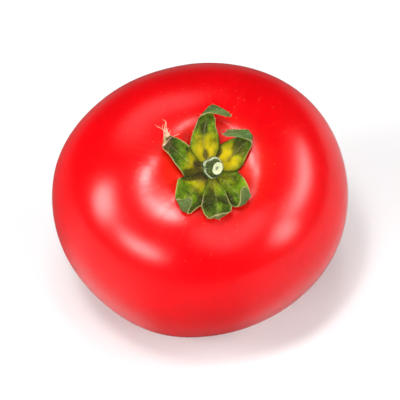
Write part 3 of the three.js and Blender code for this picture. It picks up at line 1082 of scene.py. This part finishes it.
class TOMATO_OT_strands(bpy.types.Operator):
    """Builds the withered strands at the frayed tip of the left sepal"""

    bl_idname = "tomato.strands"
    bl_label = "Withered strands"

    def execute(self, context):
        calyx = context.scene.tomato_calyx
        skin = Skin(context.scene.tomato_fruit)
        sepal = next(one for one in SEPALS if one.name == "sepal_left")
        tip = sepal_strides(skin, calyx, sepal)[-3]
        chance = random.Random(8)
        made = bmesh.new()
        for number in range(STRAND_COUNT):
            across = lerp(-1, 1, number / (STRAND_COUNT - 1))
            start = skin.settle(tip.at + tip.side * across * STRAND_SPREAD)
            way = Vector((lerp(0.5, -0.5, (across + 1) / 2), 1, 0.25))
            way.x += chance.uniform(-0.25, 0.25)
            bow = Vector((chance.uniform(-0.5, 0.5), 0, chance.uniform(-0.5, 0.1)))
            tall = STRAND_LENGTH * chance.uniform(0.45, 1)
            places = []
            for step in range(STRAND_STEPS):
                part = step / (STRAND_STEPS - 1)
                kink = Vector((math.sin(part * 7 + number), 0, math.cos(part * 5 + number)))
                places.append(start + (way * part + bow * part**2 + kink * STRAND_KINK) * tall)
            draw_strand(made, places, STRAND_RADIUS)
        finish_piece(made, "withered_strands", [dry_material(calyx)])
        return {"FINISHED"}


class TOMATO_OT_down(bpy.types.Operator):
    """Sets the fine pale down on the sepals and the stem"""

    bl_idname = "tomato.down"
    bl_label = "Down"

    def execute(self, context):
        calyx = context.scene.tomato_calyx
        chance = random.Random(3)
        made = bmesh.new()
        for owner in [sepal.name + "_leaf" for sepal in SEPALS] + ["stem_stub_end"]:
            faces = bpy.data.objects[owner].data.polygons
            for _ in range(calyx.hair_count):
                face = faces[chance.randrange(len(faces))]
                if face.material_index:
                    continue
                lean = Vector([chance.uniform(-HAIR_LEAN, HAIR_LEAN) for _ in range(3)])
                tall = calyx.hair_length * chance.uniform(0.5, 1)
                heading = (face.normal + lean).to_track_quat("Z", "Y").to_matrix().to_4x4()
                rooted = Matrix.Translation((0, 0, tall * HAIR_STAND))
                bmesh.ops.create_cone(
                    made, cap_ends=True, segments=3, radius1=HAIR_RADIUS, radius2=HAIR_RADIUS / 4,
                    depth=tall, matrix=Matrix.Translation(face.center) @ heading @ rooted,
                )
        finish_piece(made, "calyx_down", [down_material()])
        return {"FINISHED"}


class TOMATO_OT_stage(bpy.types.Operator):
    """Sets the floor, the light and the camera"""

    bl_idname = "tomato.stage"
    bl_label = "Stage"

    def execute(self, context):
        studio = context.scene.tomato_studio
        fruit = bpy.data.objects["fruit_skin"]
        add_floor(studio)
        add_world(studio)
        add_softboxes(studio)
        add_camera(studio, fruit)
        context.scene.view_settings.view_transform = "Standard"
        return {"FINISHED"}


# ---- Stage ----

FLOOR_RADIUS = 4.0
FLOOR_GLOW = 0.07
FLOOR_DIM_IMAGE = (0.13, 0.13, 0.13)
FLOOR_PALE_IMAGE = (0.5, 0.5, 0.5)
SKY_IMAGE = 0.025
SOFTBOX_DISTANCE = 0.9


@dataclass(frozen=True)
class Softbox:
    """A lit panel: where it stands, in degrees, its size as angles, and how bright it is."""

    name: str
    azimuth: float
    elevation: float
    across: float
    tall: float
    radiance: float


SOFTBOXES = (
    Softbox("left_box", -161, 31, 26, 36, 21),
    Softbox("front_left_box", -125, 25, 42, 20, 19),
    Softbox("front_right_box", -30, 21, 28, 26, 14),
    Softbox("right_box", 2, 31, 56, 20, 14),
    Softbox("overhead_box", -121, 72, 12, 21, 62),
    Softbox("zenith_box", -60, 86, 13, 13, 34),
    Softbox("front_haze", -55, 48, 50, 34, 2.4),
    Softbox("back_haze", 112, 55, 60, 40, 2.0),
)


def add_floor(studio):
    """A pale matt floor that looks darker in the skin, most of all ahead, behind and back left."""
    made = bmesh.new()
    bmesh.ops.create_circle(made, cap_ends=True, segments=96, radius=FLOOR_RADIUS)
    mesh = bpy.data.meshes.new("floor")
    made.to_mesh(mesh)
    made.free()
    material = bpy.data.materials.new("pale_floor")
    material.use_nodes = True
    wiring = Wiring(material.node_tree)
    grain = wiring.noise(wiring.here(), 3.0)
    tint = wiring.blend(grain, studio.floor, [part * 0.99 for part in studio.floor])
    way = wiring.fed("ShaderNodeVectorMath", wiring.here(), operation="NORMALIZE")
    across, behind, _ = wiring.parts(way)
    aside = wiring.remap(wiring.maths("ABSOLUTE", across), 0.3, 0.8)
    back_left = wiring.times_plus(behind, 0.5, wiring.times(across, -0.87))
    shown = wiring.times(aside, wiring.remap(back_left, 0.95, 0.7))
    image = wiring.blend(shown, FLOOR_DIM_IMAGE, FLOOR_PALE_IMAGE)
    path = wiring.node("ShaderNodeLightPath").outputs
    mixed = wiring.fed(
        "ShaderNodeMixShader", path["Is Glossy Ray"],
        wiring.fed("ShaderNodeBsdfDiffuse", tint), wiring.fed("ShaderNodeBsdfDiffuse", image),
    )
    glow = wiring.times(path["Is Camera Ray"], FLOOR_GLOW)
    glowing = wiring.named("ShaderNodeEmission", {"Strength": glow})[0]
    surface = material.node_tree.nodes["Material Output"].inputs["Surface"]
    wiring.feed(surface, wiring.fed("ShaderNodeAddShader", mixed, glowing))
    mesh.materials.append(material)
    floor = bpy.data.objects.new("floor", mesh)
    bpy.context.scene.collection.objects.link(floor)


def add_world(studio):
    """White to the camera, even ambient light on surfaces, and dim in reflections."""
    world = bpy.data.worlds.new("studio")
    world.use_nodes = True
    bpy.context.scene.world = world
    wiring = Wiring(world.node_tree)
    path = wiring.node("ShaderNodeLightPath").outputs
    background = world.node_tree.nodes["Background"]
    background.inputs["Color"].default_value = (1, 1, 1, 1)
    dimmed = wiring.times_plus(path["Is Glossy Ray"], SKY_IMAGE - studio.ambient, studio.ambient)
    seen = wiring.maths("MAXIMUM", path["Is Camera Ray"], dimmed)
    wiring.feed(background.inputs["Strength"], seen)


def pointing(azimuth, elevation):
    flat = math.cos(elevation)
    return Vector((flat * math.cos(azimuth), flat * math.sin(azimuth), math.sin(elevation)))


def fade_to_edge(light):
    """A softbox is brightest in its middle and fades out to its edge."""
    light.use_nodes = True
    wiring = Wiring(light.node_tree)
    shader = light.node_tree.nodes["Emission"]
    place = wiring.node("ShaderNodeNewGeometry").outputs["Parametric"]
    across, tall, _ = wiring.parts(place)
    squares = [
        wiring.maths("POWER", wiring.maths("SUBTRACT", value, 0.5), 2.0) for value in (across, tall)
    ]
    from_middle = wiring.maths("SQRT", wiring.maths("ADD", *squares))
    wiring.feed(shader.inputs["Strength"], wiring.remap(from_middle, 0.5, 0.08))


def add_softboxes(studio):
    low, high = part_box("fruit")
    middle = (low + high) / 2
    for box in SOFTBOXES:
        light = bpy.data.lights.new(box.name, "AREA")
        light.shape = "ELLIPSE"
        light.size, light.size_y = (
            2 * SOFTBOX_DISTANCE * math.tan(math.radians(wide / 2)) for wide in (box.across, box.tall)
        )
        area = math.pi * light.size * light.size_y / 4
        light.energy = box.radiance * studio.softboxes * math.pi * area
        out = pointing(math.radians(box.azimuth), math.radians(box.elevation))
        fade_to_edge(light)
        holder = bpy.data.objects.new(box.name, light)
        holder.location = middle + out * SOFTBOX_DISTANCE
        holder.rotation_euler = out.to_track_quat("Z", "Y").to_euler()
        holder.visible_camera = False
        bpy.context.scene.collection.objects.link(holder)


def add_camera(studio, fruit):
    """Looks down at the front, with the fruit in the middle of the picture."""
    data = bpy.data.cameras.new("camera")
    camera = bpy.data.objects.new("camera", data)
    bpy.context.scene.collection.objects.link(camera)
    bpy.context.scene.camera = camera
    back = pointing(-math.pi / 2, studio.elevation)
    look = back.to_track_quat("Z", "Y")
    right, up = look @ Vector((1, 0, 0)), look @ Vector((0, 1, 0))
    low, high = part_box("fruit")
    eye = (low + high) / 2 + back * studio.distance
    seen = []
    for vert in fruit.data.vertices:
        ray = vert.co - eye
        away = -ray.dot(back)
        seen.append(Vector((ray.dot(right) / away, ray.dot(up) / away, 0)))
    least, most = Vector(map(min, *seen)), Vector(map(max, *seen))
    aside = (least + most) / 2 * studio.distance
    camera.location = eye + right * aside.x + up * aside.y
    camera.rotation_euler = look.to_euler()
    data.lens = data.sensor_width * studio.fill / (most.x - least.x)


# ---- Panel and registration ----

OPERATORS = (
    TOMATO_OT_fruit,
    TOMATO_OT_calyx_centre,
    TOMATO_OT_stem,
    TOMATO_OT_sepals,
    TOMATO_OT_strands,
    TOMATO_OT_down,
    TOMATO_OT_stage,
)


class TOMATO_PT_build(bpy.types.Panel):
    """Lists the steps that build the tomato"""

    bl_label = "Tomato"
    bl_idname = "TOMATO_PT_build"
    bl_space_type = "VIEW_3D"
    bl_region_type = "UI"
    bl_category = "Tomato"

    def draw(self, context):
        for operator in OPERATORS:
            self.layout.operator(operator.bl_idname)


SETTINGS = {
    "tomato_fruit": TomatoFruitSettings,
    "tomato_calyx": TomatoCalyxSettings,
    "tomato_studio": TomatoStudioSettings,
}


def register():
    for name, settings in SETTINGS.items():
        bpy.utils.register_class(settings)
        setattr(bpy.types.Scene, name, PointerProperty(type=settings))
    for kind in (*OPERATORS, TOMATO_PT_build):
        bpy.utils.register_class(kind)


def unregister():
    for kind in reversed((*OPERATORS, TOMATO_PT_build)):
        bpy.utils.unregister_class(kind)
    for name, settings in reversed(SETTINGS.items()):
        delattr(bpy.types.Scene, name)
        bpy.utils.unregister_class(settings)


def main():
    register()
    bpy.ops.tomato.fruit()
    bpy.ops.tomato.calyx_centre()
    bpy.ops.tomato.stem()
    bpy.ops.tomato.sepals()
    bpy.ops.tomato.strands()
    bpy.ops.tomato.down()
    bpy.ops.tomato.stage()


if __name__ == "__main__":
    main()
